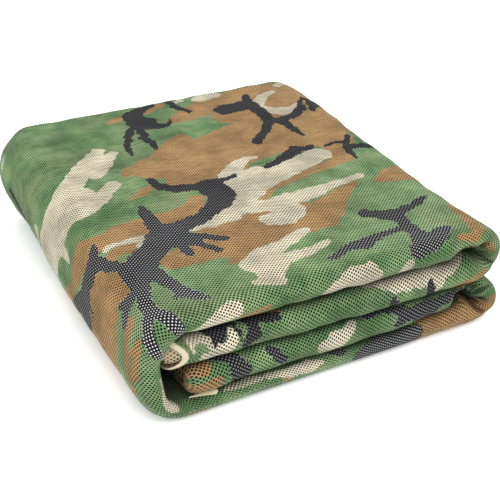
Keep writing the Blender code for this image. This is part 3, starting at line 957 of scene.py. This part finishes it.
def printed_mesh_cloth(colours, mesh_sizes):
    """Matt printed knit with rows of small holes, paler on its reverse."""
    material = bpy.data.materials.new("printed mesh cloth")
    material.use_nodes = True
    wires = Wiring(material.node_tree)
    shader = material.node_tree.nodes["Principled BSDF"]
    cloth = wires.node("ShaderNodeUVMap", uv_map="Cloth").outputs["UV"]

    def mark(name):
        return wires.node("ShaderNodeAttribute", attribute_name=name).outputs["Fac"]

    def paint(name):
        return tuple(getattr(colours, name)) + (1.0,)

    # random moss patches, with more of them towards the front of the top as painted light
    faded = wires.math("MULTIPLY_ADD", mark("faded"), PAINTED_LIGHT_MORE,
                       wires.noise(cloth, *FADED_NOISE))
    colour = wires.mix(wires.between(faded, *FADED_STEP), paint("leaf"), paint("moss"))
    worn = wires.between(wires.noise(cloth, *WORN_NOISE), *WORN_STEP)
    colour = wires.mix(wires.times(worn, WORN_SHARE), colour, paint("olive"))
    ragged = ragged_edge_group()
    for name, grain in PRINT_GRAINS.items():
        edge = wires.node("ShaderNodeGroup", {
            "Cloth": cloth, "Distance": mark(name), "Raggedness": RAGGEDNESS,
            "Grain": grain}, node_tree=ragged)
        stems = edge.outputs["Share"]
        colour = wires.mix(stems, colour, paint(name))

    # soft patches, streaks along the strip, and the single threads
    u, v, _ = wires.node("ShaderNodeSeparateXYZ", {0: cloth}).outputs
    streaky = wires.node("ShaderNodeCombineXYZ", {
        "X": wires.times(u, STREAK_STRETCH),
        "Y": wires.math("MULTIPLY_ADD", u, STREAK_SLANT, v)}).outputs["Vector"]
    for place, (scale, depth) in ((cloth, PATCH_SHADE), (streaky, STREAK_SHADE),
                                  (cloth, THREAD_SHADE)):
        shade = wires.between(wires.noise(place, scale, *SHADE_NOISE), *SHADE_STEP)
        shade = wires.math("MULTIPLY_ADD", shade, depth, 1.0 - 0.5 * depth)
        colour = wires.mix(1.0, colour, shade, "MULTIPLY")

    width = wires.times(mark("opening"), mesh_sizes.hole_width)
    holes = wires.node("ShaderNodeGroup", {
        "Cloth": cloth, "Row Pitch": mesh_sizes.row_pitch,
        "Hole Pitch": mesh_sizes.hole_pitch, "Slant": mesh_sizes.slant,
        "Hole Width": wires.times(width, wires.less(stems, STEM_TIGHTENS))},
        node_tree=mesh_holes_group()).outputs
    in_hole = wires.less(holes["Cloth Share"], 1.0)

    # painted light on the pale threads right under the dark stems, and painted shade: dark ones
    # under all other colours, in closed holes
    painted_glint = wires.times(mark("lit_below"), wires.times(in_hole, stems))
    colour = wires.mix(painted_glint, colour, paint("lit_lining"))
    # painted shade: closed holes at the lobes and near the back take the near-black depth colour
    backed = mark("backed")
    dark = wires.times(backed, wires.times(in_hole, wires.less(stems, 1.0)))
    colour = wires.mix(dark, colour, paint("depth"))
    # painted shade where two folds press together and in the tucks
    colour = wires.mix(1.0, colour, wires.less(mark("pressed"), FOLD_SHADE), "MULTIPLY")
    reverse = wires.mix(REVERSE_PRINT, paint("reverse"), colour)
    side = wires.node("ShaderNodeNewGeometry").outputs["Backfacing"]
    colour = wires.mix(side, colour, reverse)
    hidden, hem, flap = mark("hidden"), mark("hem"), wires.inside(mark("flap"))
    # the undyed layers, painted shade on the inner layers, and the woven edges
    for share, name in ((mark("undyed"), "undyed"), (hidden, "depth"), (hem, "reverse"),
                        (flap, "selvage")):
        colour = wires.mix(share, colour, paint(name))
    cover = holes["Cloth Share"]
    for closed in (hidden, hem, stems, backed, flap):
        cover = wires.math("MAXIMUM", cover, closed)

    bump = wires.node("ShaderNodeBump", {
        "Strength": THREAD_BUMP, "Distance": mesh_sizes.thread,
        "Height": holes["Thread Height"]})
    wires.feed(shader.inputs["Base Color"], colour)
    wires.feed(shader.inputs["Alpha"], cover)
    wires.feed(shader.inputs["Normal"], bump.outputs["Normal"])
    set_inputs(shader, CLOTH_SURFACE)
    return material


def plain_paper(name, colour):
    """A plain pale finish for the floor, with a faint light of its own."""
    material = bpy.data.materials.new(name)
    material.use_nodes = True
    shader = material.node_tree.nodes["Principled BSDF"]
    set_inputs(shader, PAPER_SURFACE)
    set_inputs(shader, {"Base Color": tuple(colour) + (1.0,)})
    return material


# ---- Sizes and colours ----
def a_length(name, description, default):
    """A length that a user can change."""
    return bpy.props.FloatProperty(
        name=name, description=description, default=default, unit="LENGTH", precision=5)


def an_angle(name, description, degrees):
    """An angle that a user can change."""
    return bpy.props.FloatProperty(
        name=name, description=description, default=math.radians(degrees),
        subtype="ANGLE", unit="ROTATION")


def a_colour(name, description, default):
    """A colour that a user can change."""
    return bpy.props.FloatVectorProperty(
        name=name, description=description, default=default, subtype="COLOR", size=3,
        min=0.0, max=1.0)


class NetSizes(bpy.types.PropertyGroup):
    """Sizes of the folded block."""

    width: a_length(
        "Width", "Along the front, before the sides are pushed out of true", 0.340)
    depth: a_length("Depth", "From the front to the first cut edge at the back", 0.375)
    height: a_length("Height", "Of the four panels of the strip on each other", 0.103)
    flat_width: a_length("Flat width", "Of the net, before it was folded", 1.33)
    flat_length: a_length("Flat length", "Of the net, before it was folded", 2.95)


class MeshSizes(bpy.types.PropertyGroup):
    """Sizes of the knitted mesh."""

    row_pitch: a_length("Row pitch", "Between rows of holes that are in step", 0.0040)
    hole_pitch: a_length("Hole pitch", "Between the holes of one row", 0.0031)
    slant: bpy.props.FloatProperty(
        name="Slant", description="How far the rows lean", default=-0.09)
    hole_width: a_length("Hole width", "Across one hole", 0.00155)
    thread: a_length("Thread", "How far the threads stand proud of the holes", 0.0004)


class PrintColours(bpy.types.PropertyGroup):
    """Colours of the printed side, of the reverse, and of the painted light and shade seen through
    the holes.
    """

    leaf: a_colour("Leaf", "Ground colour of the print", (0.098, 0.184, 0.080))
    moss: a_colour("Moss", "Faded patches in the leaf colour", (0.178, 0.266, 0.129))
    olive: a_colour("Olive", "Worn patches in the leaf colour", (0.205, 0.190, 0.105))
    earth: a_colour("Earth", "Colour of the broad patches", (0.320, 0.198, 0.090))
    sand: a_colour("Sand", "Colour of the pale shapes", (0.520, 0.480, 0.360))
    night: a_colour("Night", "Colour of the dark stems", (0.008, 0.008, 0.010))
    reverse: a_colour("Reverse", "Undyed threads on the back", (0.500, 0.440, 0.310))
    selvage: a_colour(
        "Selvage", "Woven edge that is caught in the lowest fold", (0.84, 0.74, 0.47))
    undyed: a_colour("Undyed", "Layers inside the loose end", (0.380, 0.310, 0.200))
    # Painted light: the pale threads below the dark stems, made near-white as if lit
    lit_lining: a_colour(
        "Lining", "Pale threads seen through the holes of the dark stems",
        (0.90, 0.90, 0.88))
    # Painted shade: a near-black colour that stands in for the shade seen through the holes and on
    # inner layers
    depth: a_colour(
        "Depth", "Dark threads seen through the other holes", (0.006, 0.007, 0.004))


class StageSizes(bpy.types.PropertyGroup):
    """Floor and camera."""

    floor_size: a_length("Floor", "Side of the square floor", 12.0)
    floor_colour: a_colour("Floor colour", "Plain pale paper", (0.95, 0.95, 0.95))
    camera_place: bpy.props.FloatVectorProperty(
        name="Camera", description="Where the camera stands", subtype="TRANSLATION",
        unit="LENGTH", size=3, default=(-0.3767, -0.7271, 0.5251))
    azimuth: an_angle(
        "Azimuth", "Camera's turn round the block, to the left if negative", -28.467)
    elevation: an_angle("Elevation", "Camera's angle above the ground", 31.710)
    roll: an_angle("Roll", "Camera's tilt to the side", 1.309)
    lens: bpy.props.FloatProperty(
        name="Lens", description="Focal length in millimetres", default=71.4)


# ---- Pieces ----
def clear_selection():
    for thing in bpy.context.selected_objects:
        thing.select_set(False)


def lay_out_cloth(rows, columns):
    """A flat sheet with this many points each way, with its own UV map."""
    clear_selection()
    bpy.ops.mesh.primitive_grid_add(
        x_subdivisions=columns - 1, y_subdivisions=rows - 1, size=1.0)
    net = bpy.context.object
    net.name = "net_cloth"
    net.data.name = "net_cloth"
    return net


class NET_OT_fold_cloth(bpy.types.Operator):
    """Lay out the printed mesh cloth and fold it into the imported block"""

    bl_idname = "net.fold_cloth"
    bl_label = "Fold the cloth"
    bl_options = {"REGISTER", "UNDO"}

    def execute(self, context):
        sizes = context.scene.net_sizes
        grid, u, v, section, tuck_shade = folded_grid(sizes)
        rows, columns = grid.shape[:2]
        net = lay_out_cloth(rows, columns)
        mesh = net.data
        if len(mesh.vertices) != rows * columns:
            raise RuntimeError("the laid out cloth has not the points that the folds need")
        mesh.vertices.foreach_set("co", grid.astype(np.float32).ravel())

        sheet_u, sheet_v = (side.ravel() for side in np.meshgrid(u, v))
        corners = np.zeros(len(mesh.loops), dtype=np.int32)
        mesh.loops.foreach_get("vertex_index", corners)
        cloth = mesh.uv_layers[0]
        cloth.name = "Cloth"
        places = np.stack([sheet_u[corners], sheet_v[corners]], axis=1)
        cloth.data.foreach_set("uv", places.astype(np.float32).ravel())
        marks = print_distances(sheet_u, sheet_v)
        marks.update(cloth_marks(u, v, section, tuck_shade, sizes))
        for name, values in marks.items():
            layer = mesh.attributes.new(name, "FLOAT", "POINT")
            layer.data.foreach_set("value", values.astype(np.float32).ravel())

        mesh.materials.append(
            printed_mesh_cloth(context.scene.print_colours, context.scene.mesh_sizes))
        mesh.shade_smooth()
        mesh.update()
        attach(net, "root")
        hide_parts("net")
        return {"FINISHED"}


# ---- Stage ----
SKY_STRENGTH = 1.28
LIGHT_TARGET = (0.0, 0.0, 0.05)
LIGHTS = (
    # name,       place,                 side, watts
    ("key light", (-0.25, -0.80, 1.20), 0.9, 9.0),
    ("back light", (0.7, 1.3, 1.6), 1.2, 3.0),
)
CAMERA_SEES = (0.01, 50.0)      # nearest and furthest


def softbox(name, place, side, power):
    """A square soft light that faces the block."""
    clear_selection()
    bpy.ops.object.light_add(type="AREA", location=place)
    lamp = bpy.context.object
    lamp.name = name
    lamp.data.size = side
    lamp.data.energy = power
    aim = Vector(LIGHT_TARGET) - Vector(place)
    lamp.rotation_euler = aim.to_track_quat("-Z", "Y").to_euler()


class NET_OT_set_stage(bpy.types.Operator):
    """Set up the pale floor, the soft studio lights and the camera"""

    bl_idname = "net.set_stage"
    bl_label = "Set the stage"
    bl_options = {"REGISTER", "UNDO"}

    def execute(self, context):
        stage = context.scene.stage_sizes
        clear_selection()
        bpy.ops.mesh.primitive_plane_add(size=stage.floor_size)
        floor = context.object
        floor.name = "floor"
        floor.data.materials.append(plain_paper("pale paper", stage.floor_colour))

        world = bpy.data.worlds.new("studio")
        context.scene.world = world
        world.use_nodes = True
        set_inputs(world.node_tree.nodes["Background"],
                   {"Color": WHITE, "Strength": SKY_STRENGTH})
        for light in LIGHTS:
            softbox(*light)
        context.scene.view_settings.view_transform = "Standard"

        camera = bpy.data.objects.new("camera", bpy.data.cameras.new("camera"))
        context.collection.objects.link(camera)
        azimuth, elevation = stage.azimuth, stage.elevation
        back = Vector((math.sin(azimuth) * math.cos(elevation),
                       -math.cos(azimuth) * math.cos(elevation),
                       math.sin(elevation)))
        level = Vector((0.0, 0.0, 1.0)).cross(back).normalized()
        rise = back.cross(level)
        right = math.cos(stage.roll) * level + math.sin(stage.roll) * rise
        up = math.cos(stage.roll) * rise - math.sin(stage.roll) * level
        turn = Matrix((right, up, back)).transposed().to_4x4()
        camera.matrix_world = Matrix.Translation(stage.camera_place) @ turn
        camera.data.lens = stage.lens
        camera.data.clip_start, camera.data.clip_end = CAMERA_SEES
        context.scene.camera = camera
        return {"FINISHED"}


class NET_PT_folded_net(bpy.types.Panel):
    """Everything that makes the folded net"""

    bl_idname = "NET_PT_folded_net"
    bl_label = "Folded Camouflage Net"
    bl_space_type = "VIEW_3D"
    bl_region_type = "UI"
    bl_category = "Net"

    def draw(self, context):
        layout = self.layout
        for group in ("net_sizes", "mesh_sizes", "print_colours", "stage_sizes"):
            settings = getattr(context.scene, group)
            box = layout.box()
            for name in settings.bl_rna.properties.keys():
                if name not in ("rna_type", "name"):
                    box.prop(settings, name)
        for operator in OPERATORS:
            layout.operator(operator.bl_idname)


SETTINGS = {
    "net_sizes": NetSizes,
    "mesh_sizes": MeshSizes,
    "print_colours": PrintColours,
    "stage_sizes": StageSizes,
}
OPERATORS = (NET_OT_fold_cloth, NET_OT_set_stage)


def register():
    for name, group in SETTINGS.items():
        bpy.utils.register_class(group)
        setattr(bpy.types.Scene, name, bpy.props.PointerProperty(type=group))
    for operator in OPERATORS:
        bpy.utils.register_class(operator)
    bpy.utils.register_class(NET_PT_folded_net)


def unregister():
    bpy.utils.unregister_class(NET_PT_folded_net)
    for operator in reversed(OPERATORS):
        bpy.utils.unregister_class(operator)
    for name, group in SETTINGS.items():
        delattr(bpy.types.Scene, name)
        bpy.utils.unregister_class(group)


def main():
    register()
    bpy.ops.net.fold_cloth()
    bpy.ops.net.set_stage()


if __name__ == "__main__":
    main()
